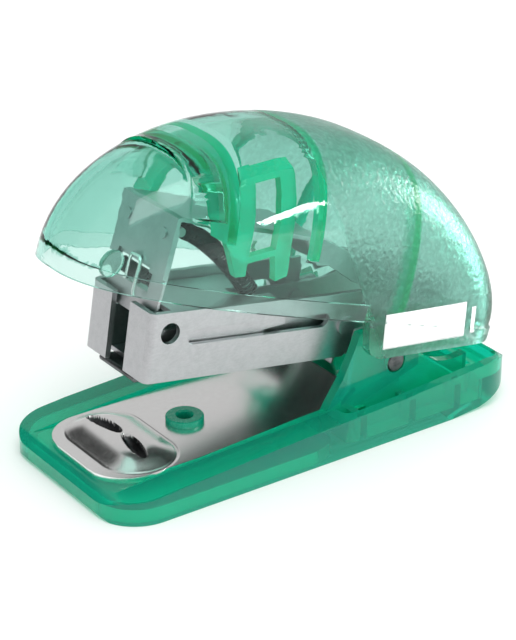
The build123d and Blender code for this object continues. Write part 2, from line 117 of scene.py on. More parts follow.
class Tree:
    """A node tree with short calls for placing and joining nodes."""

    def __init__(self, tree: bpy.types.NodeTree) -> None:
        """Keeps the tree."""
        self.tree = tree

    def add(self, kind: str, **settings: object) -> bpy.types.Node:
        """Places a node.

        Args:
            kind: the node's type name without its ShaderNode prefix.
            settings: attributes of the node.

        Returns:
            The new node.
        """
        node = self.tree.nodes.new("ShaderNode" + kind)
        for key, value in settings.items():
            setattr(node, key, value)
        return node

    def put(self, node: bpy.types.Node, **values: object) -> bpy.types.Node:
        """Sets or links inputs of a node.

        Args:
            node: the node.
            values: input names, with spaces as underscores, and a value or an output socket.

        Returns:
            The same node.
        """
        for key, value in values.items():
            socket = node.inputs[key.replace("_", " ")]
            if isinstance(value, bpy.types.NodeSocket):
                self.tree.links.new(value, socket)
            else:
                socket.default_value = value
        return node

    def math(self, operation: str, a: object, b: object = 0.0, clamp: bool = False) -> bpy.types.NodeSocket:
        """Places a Math node of two inputs.

        Args:
            operation: the node's operation.
            a: the first input, a number or a socket.
            b: the second input, a number or a socket.
            clamp: whether the result stays between 0 and 1.

        Returns:
            The result's socket.
        """
        node = self.add("Math", operation=operation, use_clamp=clamp)
        for socket, value in zip(node.inputs, (a, b)):
            if isinstance(value, bpy.types.NodeSocket):
                self.tree.links.new(value, socket)
            else:
                socket.default_value = value
        return node.outputs[0]

    def mix(self, share: object, a: object, b: object) -> bpy.types.NodeSocket:
        """Places a mix of two colours.

        Args:
            share: how much of the second, a number or a socket.
            a: the first colour, or a socket.
            b: the second colour, or a socket.

        Returns:
            The mixed colour's socket.
        """
        node = self.add("Mix", data_type="RGBA")
        for socket, value in zip((node.inputs[0], node.inputs[6], node.inputs[7]), (share, a, b)):
            if isinstance(value, bpy.types.NodeSocket):
                self.tree.links.new(value, socket)
            elif isinstance(value, tuple):
                socket.default_value = (*value, 1.0)
            else:
                socket.default_value = value
        return node.outputs[2]

    def ramp(self, value: bpy.types.NodeSocket, low: float, high: float) -> bpy.types.NodeSocket:
        """Places a smooth step from 0 to 1.

        Args:
            value: the value.
            low: where the step starts.
            high: where it ends.

        Returns:
            The step's socket.
        """
        node = self.add("MapRange", interpolation_type="SMOOTHSTEP")
        self.put(node, Value=value, From_Min=low, From_Max=high)
        return node.outputs[0]

    def noise(self, vector: bpy.types.NodeSocket, scale: object, detail: float = 3.0) -> bpy.types.NodeSocket:
        """Places fractal noise, which varies around a half.

        Args:
            vector: the place, in metres.
            scale: how many lumps a metre has, a number or a socket.
            detail: how many finer layers it has.

        Returns:
            The noise's socket.
        """
        node = self.put(self.add("TexNoise"), Vector=vector, Scale=scale, Detail=detail)
        return node.outputs[0]

    def call(self, group: bpy.types.NodeTree, **values: object) -> bpy.types.Node:
        """Places a shader group.

        Args:
            group: the group.
            values: its inputs, as for put.

        Returns:
            The group's node.
        """
        node = self.add("Group", node_tree=group)
        return self.put(node, **values)


class Groups:
    """The shader groups that several materials share, each built once."""

    def __init__(self) -> None:
        """Builds every group."""
        self.grain = self._grain()
        self.wear = self._wear()
        self.smudges = self._smudges()
        self.frost = self._frost()

    @staticmethod
    def _start(name: str, ins: dict[str, float | Colour], outs: dict[str, str]) -> Tree:
        """An empty group.

        Args:
            name: the group's name.
            ins: input names with their default values; a tuple makes a colour.
            outs: output names with their socket kinds.

        Returns:
            The group's tree, with its input and output nodes.
        """
        group = bpy.data.node_groups.new(name, "ShaderNodeTree")
        group.interface.new_socket(name="Vector", in_out="INPUT", socket_type="NodeSocketVector")
        for label, value in ins.items():
            kind = "NodeSocketColor" if isinstance(value, tuple) else "NodeSocketFloat"
            socket = group.interface.new_socket(name=label, in_out="INPUT", socket_type=kind)
            socket.default_value = (*value, 1.0) if isinstance(value, tuple) else value
        for label, kind in outs.items():
            group.interface.new_socket(name=label, in_out="OUTPUT", socket_type="NodeSocket" + kind)
        group.nodes.new("NodeGroupInput")
        group.nodes.new("NodeGroupOutput")
        return Tree(group)

    @staticmethod
    def _ends(tree: Tree) -> tuple[bpy.types.Node, bpy.types.Node]:
        """The ends of a group.

        Args:
            tree: the group's tree.

        Returns:
            Its input and output nodes.
        """
        nodes = tree.tree.nodes
        return nodes["Group Input"], nodes["Group Output"]

    def _grain(self) -> bpy.types.NodeTree:
        """Rolled sheet grain: streaks along one axis over a fine speckle.

        Returns:
            The group.
        """
        tree = self._start(
            "rolled_grain", {"Stretch": 3.0, "Size": 3800.0}, {"Height": "Float", "Mask": "Float"},
        )
        start, end = self._ends(tree)
        scaling = tree.add("VectorMath", operation="MULTIPLY")
        combine = tree.add("CombineXYZ")
        tree.put(combine, X=tree.math("DIVIDE", 1.0, start.outputs["Stretch"]), Y=1.0, Z=1.0)
        tree.tree.links.new(start.outputs["Vector"], scaling.inputs[0])
        tree.tree.links.new(combine.outputs[0], scaling.inputs[1])
        streaks = tree.noise(scaling.outputs[0], start.outputs["Size"], 4.0)
        speckle = tree.noise(start.outputs["Vector"], 7000.0, 2.0)
        both = tree.math("ADD", tree.math("MULTIPLY", streaks, 0.6), tree.math("MULTIPLY", speckle, 0.4))
        tree.tree.links.new(both, end.inputs["Height"])
        tree.tree.links.new(tree.ramp(both, 0.38, 0.62), end.inputs["Mask"])
        return tree.tree

    def _wear(self) -> bpy.types.NodeTree:
        """Edge wear: a mask that is strong on convex edges and broken up by noise.

        Returns:
            The group.
        """
        tree = self._start("edge_wear", {"Reach": 0.04, "Amount": 1.0}, {"Mask": "Float"})
        start, end = self._ends(tree)
        sharp = tree.add("NewGeometry").outputs["Pointiness"]
        over = tree.math("SUBTRACT", sharp, 0.5)
        edge = tree.math("DIVIDE", over, start.outputs["Reach"], clamp=True)
        broken = tree.ramp(tree.noise(start.outputs["Vector"], 700.0), 0.3, 0.62)
        mask = tree.math("MULTIPLY", tree.math("MULTIPLY", edge, broken), start.outputs["Amount"], clamp=True)
        tree.tree.links.new(mask, end.inputs["Mask"])
        return tree.tree

    def _smudges(self) -> bpy.types.NodeTree:
        """Finger smudges and the faint flow waves of a gloss surface.

        Returns:
            The group.
        """
        tree = self._start("smudges", {"Size": 90.0}, {"Mask": "Float", "Height": "Float"})
        start, end = self._ends(tree)
        blotch = tree.noise(start.outputs["Vector"], start.outputs["Size"], 5.0)
        blotch.node.inputs["Distortion"].default_value = 0.6
        mask = tree.ramp(blotch, 0.42, 0.68)
        tree.tree.links.new(mask, end.inputs["Mask"])
        flow = tree.noise(start.outputs["Vector"], 260.0, 1.0)
        tree.tree.links.new(flow, end.inputs["Height"])
        return tree.tree

    def _frost(self) -> bpy.types.NodeTree:
        """The spark-eroded frosting of a moulding tool: fine rounded pits.

        Returns:
            The group.
        """
        tree = self._start("frosting", {"Size": 1700.0}, {"Height": "Float", "Mask": "Float"})
        start, end = self._ends(tree)
        cells = tree.add("TexVoronoi", feature="SMOOTH_F1")
        tree.put(cells, Vector=start.outputs["Vector"], Scale=start.outputs["Size"])
        pits = tree.math("MULTIPLY", cells.outputs[0], 0.7)
        fine = tree.math("MULTIPLY", tree.noise(start.outputs["Vector"], start.outputs["Size"]), 0.6)
        height = tree.math("ADD", pits, fine)
        tree.tree.links.new(height, end.inputs["Height"])
        tree.tree.links.new(tree.ramp(height, 0.35, 0.75), end.inputs["Mask"])
        return tree.tree


GROUPS = Groups()


# ---------------------------------------------------------------- finishes


def new_material(name: str) -> tuple[bpy.types.Material, Tree, bpy.types.Node, bpy.types.Node]:
    """A material with only its output and a Principled shader.

    Args:
        name: the material's name.

    Returns:
        The material, its tree, the Principled node and the output node.
    """
    material = bpy.data.materials.new(name)
    material.use_nodes = True
    tree = Tree(material.node_tree)
    shader = material.node_tree.nodes["Principled BSDF"]
    output = material.node_tree.nodes["Material Output"]
    return material, tree, shader, output


@dataclass(frozen=True)
class Steel:
    """Pressed sheet steel.

    Args:
        name: the finish's name.
        colour: the metal's colour.
        dull: the colour in the grain's hollows.
        roughness: the lowest roughness.
        spread: how much the grain adds to the roughness.
        bump: the grain's depth, in metres.
        wear: how strong bright worn edges are.
    """

    name: str
    colour: Colour = (0.46, 0.465, 0.475)
    dull: Colour = (0.41, 0.415, 0.425)
    roughness: float = 0.3
    spread: float = 0.1
    bump: float = 0.0000012
    wear: float = 0.06

    def make(self) -> bpy.types.Material:
        """Builds the finish.

        Returns:
            The material.
        """
        material, tree, shader, _ = new_material(self.name)
        place = tree.add("TexCoord").outputs["Object"]
        grain = tree.call(GROUPS.grain, Vector=place)
        smudge = tree.call(GROUPS.smudges, Vector=place, Size=160.0)
        wear = tree.call(GROUPS.wear, Vector=place, Amount=self.wear)
        base = tree.mix(grain.outputs["Mask"], self.dull, self.colour)
        worn = tree.mix(wear.outputs["Mask"], base, (0.93, 0.93, 0.94))
        rough = tree.math("MULTIPLY_ADD", smudge.outputs["Mask"], 0.03)
        rough.node.inputs[2].default_value = self.roughness
        rough = tree.math("ADD", rough, tree.math("MULTIPLY", grain.outputs["Mask"], self.spread))
        bump = tree.put(tree.add("Bump"), Height=grain.outputs["Height"], Distance=self.bump, Strength=1.0)
        tree.put(shader, Base_Color=worn, Roughness=rough, Metallic=1.0, Normal=bump.outputs[0])
        return material


@dataclass(frozen=True)
class ClearPlastic:
    """Tinted clear moulding with a polished or frosted face.

    Args:
        name: the finish's name.
        tint: the surface tint of each pass through the wall.
        depth_colour: the colour that a thick stretch goes to.
        density: how fast a thick stretch takes that colour, per metre.
        roughness: the polish.
        frosted: whether the part behind the frosting's edge is frosted.
        pass_light: the colour of lamp light let through.
        clearness: the share of light that goes through and isn't scattered.
        frost_start: where the frosting starts on the crown, along the handle, in millimetres.
        frost_shoulder: the height at which its edge turns to the rear, in millimetres.
        frost_sweep: how fast it then runs to the rear.
        gloss: how strongly its face mirrors.
    """

    name: str
    tint: Colour = (0.80, 0.90, 0.87)
    depth_colour: Colour = (0.0, 0.80, 0.64)
    density: float = 215.0
    roughness: float = 0.02
    frosted: bool = False
    pass_light: Colour = (0.60, 0.90, 0.80)
    clearness: float = 0.93
    frost_start: float = -31.0
    frost_shoulder: float = 18.0
    frost_sweep: float = 0.43
    gloss: float = 0.5

    def make(self) -> bpy.types.Material:
        """Builds the finish.

        Returns:
            The material.
        """
        material, tree, shader, output = new_material(self.name)
        place = tree.add("TexCoord").outputs["Object"]
        smudge = tree.call(GROUPS.smudges, Vector=place)
        rough = tree.math("MULTIPLY_ADD", smudge.outputs["Mask"], 0.05)
        rough.node.inputs[2].default_value = self.roughness
        tint = tree.mix(smudge.outputs["Mask"], self.tint, tuple(0.97 * part for part in self.tint))
        flow = tree.put(tree.add("Bump"), Height=smudge.outputs["Height"], Distance=0.00003, Strength=0.35)
        normal = flow.outputs[0]
        if self.frosted:
            frost = tree.call(GROUPS.frost, Vector=place)
            behind = self._behind(tree, place)
            rough = tree.math("ADD", rough, tree.math("MULTIPLY", behind, 0.27))
            pits = tree.put(tree.add("Bump"), Distance=0.00012, Normal=flow.outputs[0])
            tree.put(pits, Strength=behind, Height=frost.outputs["Height"])
            normal = pits.outputs[0]
            speck = tree.math("MULTIPLY", frost.outputs["Mask"], behind)
            tint = tree.mix(speck, tint, tuple(0.72 * part for part in self.tint))
        tree.put(shader, Base_Color=tint, Roughness=rough, Normal=normal, IOR=1.47)
        tree.put(shader, Transmission_Weight=self.clearness, Specular_IOR_Level=self.gloss)
        clear = tree.put(tree.add("BsdfTransparent"), Color=(*self.pass_light, 1.0))
        lamp = tree.add("LightPath").outputs["Is Shadow Ray"]
        mixed = tree.add("MixShader")
        tree.tree.links.new(lamp, mixed.inputs[0])
        tree.tree.links.new(shader.outputs[0], mixed.inputs[1])
        tree.tree.links.new(clear.outputs[0], mixed.inputs[2])
        tree.tree.links.new(mixed.outputs[0], output.inputs["Surface"])
        deep = tree.add("VolumeAbsorption")
        tree.put(deep, Color=(*self.depth_colour, 1.0), Density=self.density)
        tree.tree.links.new(deep.outputs[0], output.inputs["Volume"])
        return material

    def _behind(self, tree: Tree, place: bpy.types.NodeSocket) -> bpy.types.NodeSocket:
        """A mask of the cover behind the curved edge of its frosting.

        Args:
            tree: the material's tree.
            place: the object coordinates.

        Returns:
            The mask, 0 on the clear nose and 1 on the frosted rear.
        """
        along = self._distance(tree, place, HANDLE_FRAME.point(0, 0), HANDLE_FRAME.point(1, 0))
        up = self._distance(tree, place, HANDLE_FRAME.point(0, 0), HANDLE_FRAME.point(0, 1))
        # the edge comes down square from the crown and then sweeps to the rear
        below = tree.math("MAXIMUM", tree.math("SUBTRACT", self.frost_shoulder, up), 0.0)
        sweep = tree.math("MULTIPLY", tree.math("POWER", below, 1.15), self.frost_sweep)
        edge = tree.math("ADD", sweep, self.frost_start)
        return tree.ramp(tree.math("SUBTRACT", along, edge), -0.15, 0.25)

    @staticmethod
    def _distance(
        tree: Tree, place: bpy.types.NodeSocket, origin: Vector, ahead: Vector,
    ) -> bpy.types.NodeSocket:
        """How far a place lies from an origin along a direction, in millimetres.

        Args:
            tree: the material's tree.
            place: the object coordinates.
            origin: where the distance is nothing, in metres.
            ahead: a point one millimetre along the direction, in metres.

        Returns:
            The distance's socket.
        """
        direction = (ahead - origin).normalized()
        dot = tree.add("VectorMath", operation="DOT_PRODUCT")
        tree.tree.links.new(place, dot.inputs[0])
        dot.inputs[1].default_value = direction
        moved = tree.math("SUBTRACT", dot.outputs["Value"], origin.dot(direction))
        return tree.math("DIVIDE", moved, MM)


@dataclass(frozen=True)
class Painted:
    """An opaque coating with a slight grain.

    Args:
        name: the finish's name.
        colour: its colour.
        worn: its colour in patches.
        roughness: its roughness.
    """

    name: str
    colour: Colour
    worn: Colour
    roughness: float

    def make(self) -> bpy.types.Material:
        """Builds the finish.

        Returns:
            The material.
        """
        material, tree, shader, _ = new_material(self.name)
        place = tree.add("TexCoord").outputs["Object"]
        grain = tree.call(GROUPS.grain, Vector=place, Stretch=1.5, Size=1500.0)
        wear = tree.call(GROUPS.wear, Vector=place, Amount=0.1)
        base = tree.mix(grain.outputs["Mask"], self.colour, self.worn)
        top = tree.mix(wear.outputs["Mask"], base, tuple(min(1.0, 1.6 * part + 0.05) for part in self.worn))
        rough = tree.math("MULTIPLY_ADD", grain.outputs["Mask"], 0.12)
        rough.node.inputs[2].default_value = self.roughness
        bump = tree.put(tree.add("Bump"), Height=grain.outputs["Height"], Distance=0.000004)
        tree.put(shader, Base_Color=top, Roughness=rough, Normal=bump.outputs[0])
        return material


@dataclass
class Finishes:
    """Every finish of the stapler, made once."""

    cover: bpy.types.Material = field(init=False)
    clear: bpy.types.Material = field(init=False)
    arch: bpy.types.Material = field(init=False)
    guard: bpy.types.Material = field(init=False)
    base: bpy.types.Material = field(init=False)
    satin: bpy.types.Material = field(init=False)
    bright: bpy.types.Material = field(init=False)
    dark: bpy.types.Material = field(init=False)
    wire: bpy.types.Material = field(init=False)
    ink: bpy.types.Material = field(init=False)
    boss: bpy.types.Material = field(init=False)

    def __post_init__(self) -> None:
        """Builds the materials."""
        self.cover = ClearPlastic("cover_plastic", frosted=True, clearness=1.0, gloss=0.28).make()
        self.clear = ClearPlastic("clear_plastic", density=150.0).make()
        self.arch = ClearPlastic(
            "arch_plastic", tint=(0.0, 0.80, 0.58), clearness=0.40, roughness=0.10,
            pass_light=(0.20, 0.75, 0.55), gloss=0.3,
        ).make()
        self.guard = ClearPlastic(
            "guard_plastic", tint=(0.0, 0.80, 0.56), clearness=0.55, roughness=0.06,
            pass_light=(0.20, 0.75, 0.55), gloss=0.4,
        ).make()
        self.base = ClearPlastic(
            "base_plastic", tint=(0.02, 0.72, 0.53), depth_colour=(0.0, 0.85, 0.77), density=520.0,
            clearness=0.80, roughness=0.04, pass_light=(0.10, 0.60, 0.44), gloss=0.12,
        ).make()
        self.satin = Steel("satin_steel").make()
        self.bright = Steel(
            "bright_steel", colour=(0.97, 0.96, 0.955), dull=(0.92, 0.91, 0.905), roughness=0.19, spread=0.05,
            bump=0.0000004, wear=0.0,
        ).make()
        self.dark = Steel(
            "dark_steel", colour=(0.10, 0.10, 0.105), dull=(0.06, 0.06, 0.065), roughness=0.28, wear=0.1,
        ).make()
        self.wire = Painted(
            "black_wire", colour=(0.004, 0.004, 0.005), worn=(0.010, 0.010, 0.011), roughness=0.16,
        ).make()
        self.ink = Painted(
            "white_ink", colour=(0.90, 0.91, 0.90), worn=(0.80, 0.82, 0.81), roughness=0.4,
        ).make()
        self.boss = Painted(
            "boss_plastic", colour=(0.0, 0.34, 0.20), worn=(0.004, 0.38, 0.23), roughness=0.18,
        ).make()


# ---------------------------------------------------------------- mesh helpers


def to_object(
    mesh: bmesh.types.BMesh, name: str, *materials: bpy.types.Material, crease: float = 35.0,
) -> bpy.types.Object:
    """Turns a bmesh into an object at the origin, smooth but for its sharp edges.

    Args:
        mesh: the shape, which is freed.
        name: the piece's name.
        materials: its finishes, which the faces number.
        crease: the angle, in degrees, past which an edge stays sharp.

    Returns:
        The new object.
    """
    data = bpy.data.meshes.new(name)
    mesh.to_mesh(data)
    mesh.free()
    for material in materials:
        data.materials.append(material)
    for polygon in data.polygons:
        polygon.use_smooth = True
    data.set_sharp_from_angle(angle=radians(crease))
    piece = bpy.data.objects.new(name, data)
    bpy.context.scene.collection.objects.link(piece)
    return piece


def settle(piece: bpy.types.Object, body: Body, slot: Slot, *nodes: str) -> bpy.types.Object:
    """Makes a piece ride on its body and stand for its nodes.

    Args:
        piece: the piece.
        body: the body it moves with.
        slot: the record's slot; not used.
        nodes: the frame's nodes that it stands for.

    Returns:
        The same piece.
    """
    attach(piece, body.value)
    if nodes:
        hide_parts(*nodes)
    log.info("%s rides on %s for %s", piece.name, body.value, ", ".join(nodes) or "itself")
    return piece


def merged_copy(node: str) -> bmesh.types.BMesh:
    """Copies a frame node's mesh, merges its doubles and joins its flat faces.

    Args:
        node: the frame's node.

    Returns:
        The copy.
    """
    mesh = bmesh.new()
    mesh.from_mesh(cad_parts[node].data)
    for face in mesh.faces:
        face.material_index = 0
    bmesh.ops.remove_doubles(mesh, verts=mesh.verts, dist=1e-7)
    bmesh.ops.dissolve_limit(
        mesh, angle_limit=radians(0.4), use_dissolve_boundaries=False, verts=mesh.verts, edges=mesh.edges,
    )
    return mesh


def soften(mesh: bmesh.types.BMesh, width: float, angle: float = 32.0, segments: int = 2) -> None:
    """Rounds a shape's sharp edges.

    Args:
        mesh: the shape.
        width: the width of the rounding, in metres.
        angle: edges sharper than this, in degrees, are rounded.
        segments: how many faces the rounding has.
    """
    sharp = [edge for edge in mesh.edges if edge.is_manifold and edge.calc_face_angle(0.0) > radians(angle)]
    bmesh.ops.bevel(
        mesh, geom=sharp, offset=width, offset_type="OFFSET", segments=segments, profile=0.5,
        affect="EDGES", clamp_overlap=True, material=-1,
    )


def dress_node(node: str, material: bpy.types.Material) -> None:
    """Gives a frame node a finish on its own object.

    Args:
        node: the frame's node.
        material: its finish.
    """
    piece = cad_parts[node]
    for slot in piece.material_slots:
        slot.link = "OBJECT"
        slot.material = material
    log.info("%s is dressed in %s", node, material.name)


def rounded_node(
    node: str, name: str, material: bpy.types.Material, body: Body, slot: Slot, width: float,
) -> bpy.types.Object:
    """A piece shaped as a frame node, with its sharp edges rounded.

    Args:
        node: the frame's node.
        name: the piece's name.
        material: its finish.
        body: the body it moves with.
        slot: the record's slot.
        width: the width of the rounding, in metres.

    Returns:
        The piece.
    """
    mesh = merged_copy(node)
    soften(mesh, width)
    piece = to_object(mesh, name, material)
    normals = piece.modifiers.new("flat_faces", "WEIGHTED_NORMAL")
    normals.keep_sharp = True
    return settle(piece, body, slot, node)


def wire_piece(
    places: Sequence[Vector], radius: float, name: str, material: bpy.types.Material, resolution: int = 2,
) -> bpy.types.Object:
    """A round wire along a line of points, as a mesh piece.

    Args:
        places: the points, in metres.
        radius: the wire's radius, in metres.
        name: the piece's name.
        material: its finish.
        resolution: how finely its section is drawn.

    Returns:
        The piece.
    """
    curve = bpy.data.curves.new(name, "CURVE")
    curve.dimensions = "3D"
    curve.bevel_depth = radius
    curve.bevel_resolution = resolution
    curve.use_fill_caps = True
    spline = curve.splines.new("POLY")
    spline.points.add(len(places) - 1)
    for point, place in zip(spline.points, places):
        point.co = (*place, 1.0)
    drawn = bpy.data.objects.new(name + "_drawn", curve)
    bpy.context.scene.collection.objects.link(drawn)
    bpy.context.view_layer.update()
    data = bpy.data.meshes.new_from_object(drawn.evaluated_get(bpy.context.evaluated_depsgraph_get()))
    bpy.data.objects.remove(drawn)
    data.name = name
    data.materials.clear()
    data.materials.append(material)
    for polygon in data.polygons:
        polygon.use_smooth = True
    piece = bpy.data.objects.new(name, data)
    bpy.context.scene.collection.objects.link(piece)
    return piece


def coil(
    centres: Callable[[float], Vector], turns: int, radius: float, wire: float, name: str,
    material: bpy.types.Material, steps: int = 16,
) -> bpy.types.Object:
    """A wound spring along a path.

    Args:
        centres: the path, as a function of a share from 0 to 1, in metres.
        turns: how many turns it has.
        radius: from the path to the wire's middle, in metres.
        wire: the wire's radius, in metres.
        name: the piece's name.
        material: its finish.
        steps: how many points each turn has.

    Returns:
        The piece.
    """
    count = turns * steps
    side = Vector((0.0, 1.0, 0.0))
    places = []
    for index in range(count + 1):
        share = index / count
        ahead = (centres(min(1.0, share + 0.01)) - centres(max(0.0, share - 0.01))).normalized()
        lift = ahead.cross(side).normalized()
        turn = 2 * pi * index / steps
        places.append(centres(share) + (lift * cos(turn) + side * sin(turn)) * radius)
    return wire_piece(places, wire, name, material)


# ---------------------------------------------------------------- base


@dataclass
class Base:
    """The green shell, its steel plate and what is pinned to them.

    Args:
        finishes: the finishes.
        edge: the rounding of the shell's edges, in metres.
        fine_edge: the rounding of the boss and the leaf, in metres.
        leaf_foot: where the leaf stops following the base, in millimetres; not used.
        leaf_tip: where it follows the magazine, in millimetres; not used.
    """

    finishes: Finishes
    edge: float = 0.35 * MM
    fine_edge: float = 0.05 * MM
    leaf_foot: tuple[float, float, float] = (10.6, 0.0, 3.4)
    leaf_tip: tuple[float, float, float] = (9.3, 0.0, 8.4)

    def build(self) -> None:
        """Builds every piece of the base."""
        green = Slot.BASE_GREEN
        rounded_node("base_shell", "base_moulding", self.finishes.base, Body.BASE, green, self.edge)
        Plate(self.finishes).build()
        rounded_node("plate_boss", "plate_boss_ring", self.finishes.boss, Body.BASE, green, self.fine_edge)
        dress_node("pivot_pin", self.finishes.dark)
        dress_node("leaf_rivet", self.finishes.satin)
        dress_node("pivot_bushes", self.finishes.boss)
        self._lift_leaf()

    def _lift_leaf(self) -> None:
        """The leaf under the magazine, a rounded copy of the return spring."""
        mesh = merged_copy("return_spring")
        soften(mesh, self.fine_edge)
        leaf = to_object(mesh, "lift_leaf", self.finishes.satin)
        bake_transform(leaf)
        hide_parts("return_spring")


@dataclass
class Plate:
    """The pressed plate: a tray, an anvil with two leg grooves, a ramp and two ears. Sizes in millimetres.

    Args:
        finishes: the finishes.
        front: where it starts.
        ramp_start: where it begins to rise.
        ramp_end: where it ends.
        ramp_rise: how far it rises.
        half: half its width.
        corner: the radius of its front corners.
        top: the height of its upper face.
        sheet: its thickness.
        anvil: the anvil's middle along the plate.
        anvil_half: half the anvil's length and width.
        anvil_rise: how far the anvil stands up.
        shoulder: how wide its sloping side is.
        grooves: each leg groove's ends across the anvil, and how far it leans along it.
        groove_depth: how deep they are.
        groove_shade_depth: the depth past which their faces take the dark steel finish as painted shade.
        line_depth: the depth of the fine pressed line round the anvil.
        boss: where the hole for the boss is.
        hole: that hole's radius.
        ear_inner: the inner face of the ears.
        ear_front: where the ears start.
        cells: how many cells the sheet's grid has along and across.
        rim: the rounding of the sheet's cut edges.
        ear_rim: the rounding of the ears' edges.
        rim_angle: edges sharper than this, in degrees, are cut edges.
    """

    finishes: Finishes
    front: float = -31.3
    ramp_start: float = -1.6
    ramp_end: float = 7.2
    ramp_rise: float = 3.3
    half: float = 9.75
    corner: float = 6.0
    top: float = 4.0
    sheet: float = 0.8
    anvil: float = -24.0
    anvil_half: tuple[float, float] = (9.3, 5.3)
    anvil_rise: float = 1.15
    shoulder: float = 3.9
    grooves: tuple[tuple[float, float, float], ...] = ((0.35, 7.4, 0.40), (-7.0, -0.25, -0.40))
    groove_depth: float = 1.3
    groove_shade_depth: float = 0.3
    line_depth: float = 0.10
    boss: float = -13.6
    hole: float = 1.5
    ear_inner: float = 8.95
    ear_front: float = 5.2
    cells: tuple[int, int] = (300, 150)
    rim: float = 0.16
    ear_rim: float = 0.12
    rim_angle: float = 60.0

    def build(self) -> None:
        """Builds the sheet and its ears."""
        sheet = self._sheet()
        settle(sheet, Body.BASE, Slot.BRIGHT, "base_plate")
        far = merged_copy("base_plate")
        self._cut(far, (self.ear_front, 0, 0), (-1, 0, 0))
        near = far.copy()
        self._cut(far, (0, self.ear_inner, 0), (0, -1, 0))
        self._cut(near, (0, -self.ear_inner, 0), (0, 1, 0))
        for name, part in (("plate_ear_far", far), ("plate_ear_near", near)):
            soften(part, self.ear_rim * MM)
            ear = to_object(part, name, self.finishes.satin)
            settle(ear, Body.BASE, Slot.BRIGHT)

    @staticmethod
    def _cut(mesh: bmesh.types.BMesh, place: Sequence[float], normal: Sequence[float]) -> None:
        """Cuts a closed shape at a plane and closes it again.

        Args:
            mesh: the shape.
            place: a point of the plane, in millimetres.
            normal: the side that goes.
        """
        everything = mesh.verts[:] + mesh.edges[:] + mesh.faces[:]
        cut = bmesh.ops.bisect_plane(
            mesh, geom=everything, dist=1e-7, plane_co=Vector(place) * MM, plane_no=normal, clear_outer=True,
        )
        rim = [part for part in cut["geom_cut"] if isinstance(part, bmesh.types.BMEdge)]
        bmesh.ops.holes_fill(mesh, edges=rim)

    def _sheet(self) -> bpy.types.Object:
        """The pressed sheet: a grid drawn to the plate's outline and raised to its relief.

        Returns:
            The piece.
        """
        mesh = bmesh.new()
        bmesh.ops.create_grid(mesh, x_segments=self.cells[0], y_segments=self.cells[1], size=1.0)
        middle, reach = (self.front + self.ramp_end) / 2, (self.ramp_end - self.front) / 2
        for vert in mesh.verts:
            x = middle + vert.co.x * reach
            inside = max(0.0, self.corner - (x - self.front))
            half = self.half - self.corner + (self.corner**2 - inside**2) ** 0.5
            y = vert.co.y * half
            vert.co = Vector((x, y, self._height(x, y))) * MM
        boss = Vector((self.boss, 0, self.top)) * MM
        hole = [face for face in mesh.faces if (face.calc_center_median() - boss).length < self.hole * MM]
        bmesh.ops.delete(mesh, geom=hole, context="FACES")
        for face in mesh.faces:
            centre = face.calc_center_median() / MM
            # faces deep in the leg grooves take the dark steel finish: painted shade standing in for the
            # shadow inside the narrow grooves
            face.material_index = int(self._groove(centre.x, centre.y) > self.groove_shade_depth)
        bmesh.ops.recalc_face_normals(mesh, faces=mesh.faces)
        if sum(face.normal.z for face in mesh.faces) < 0:
            bmesh.ops.reverse_faces(mesh, faces=mesh.faces)
        finishes = (self.finishes.bright, self.finishes.dark)
        piece = to_object(mesh, "plate_sheet", *finishes, crease=self.rim_angle)
        wall = piece.modifiers.new("sheet", "SOLIDIFY")
        wall.thickness = self.sheet * MM
        wall.offset = -1.0
        rim = piece.modifiers.new("rim", "BEVEL")
        rim.width = self.rim * MM
        rim.segments = 2
        rim.limit_method = "ANGLE"
        rim.angle_limit = radians(self.rim_angle)
        return piece

    def _height(self, x: float, y: float) -> float:
        """The height of the sheet's upper face.

        Args:
            x: the place along the plate.
            y: the place across it.

        Returns:
            The height, in millimetres.
        """
        share = max(0.0, (x - self.ramp_start) / (self.ramp_end - self.ramp_start))
        height = self.top + self.ramp_rise * share**2.3
        along, across = x - self.anvil, y
        straight = max(0.0, abs(across) - (self.anvil_half[0] - self.anvil_half[1]))
        outside = (along**2 + straight**2) ** 0.5 - self.anvil_half[1]
        step = min(1.0, max(0.0, -outside / self.shoulder))
        height += self.anvil_rise * sin(pi * step / 2) ** 1.25
        # a fine pressed line runs round the anvil's foot
        height -= self.line_depth * max(0.0, 1.0 - (abs(outside - 0.15) / 0.28) ** 2)
        return height - self._groove(x, y)

    def _groove(self, x: float, y: float) -> float:
        """The depth of the two leg grooves, in line across the anvil and parted by a narrow bridge.

        Args:
            x: the place along the plate.
            y: the place across it.

        Returns:
            The depth, in millimetres.
        """
        depth = 0.0
        for start, end, lean in self.grooves:
            share = (y - start) / (end - start)
            if 0.0 < share < 1.0:
                width = sin(pi * share) ** 0.4
                offset = (x - self.anvil - lean * cos(pi * share)) / max(width, 0.05)
                hollow = max(0.0, 1.0 - offset**2) ** 0.5
                depth = max(depth, self.groove_depth * hollow * sin(pi * share) ** 0.35)
        return depth


# ---------------------------------------------------------------- magazine


@dataclass
class Magazine:
    """The folded channel, the rail inside it and its shoe.

    Args:
        finishes: the finishes.
    """

    finishes: Finishes

    def build(self) -> None:
        """Builds every piece of the magazine."""
        for node, name, finish, width in (
            ("magazine_channel", "magazine_walls", self.finishes.satin, 0.14 * MM),
            ("staple_rail", "rail_inside", self.finishes.satin, 0.1 * MM),
            ("rail_shoe", "shoe_strip", self.finishes.dark, 0.15 * MM),
        ):
            rounded_node(node, name, finish, Body.MAGAZINE, Slot.STEEL, width)
        for node in ("channel_rivets", "handle_pin"):
            dress_node(node, self.finishes.satin)


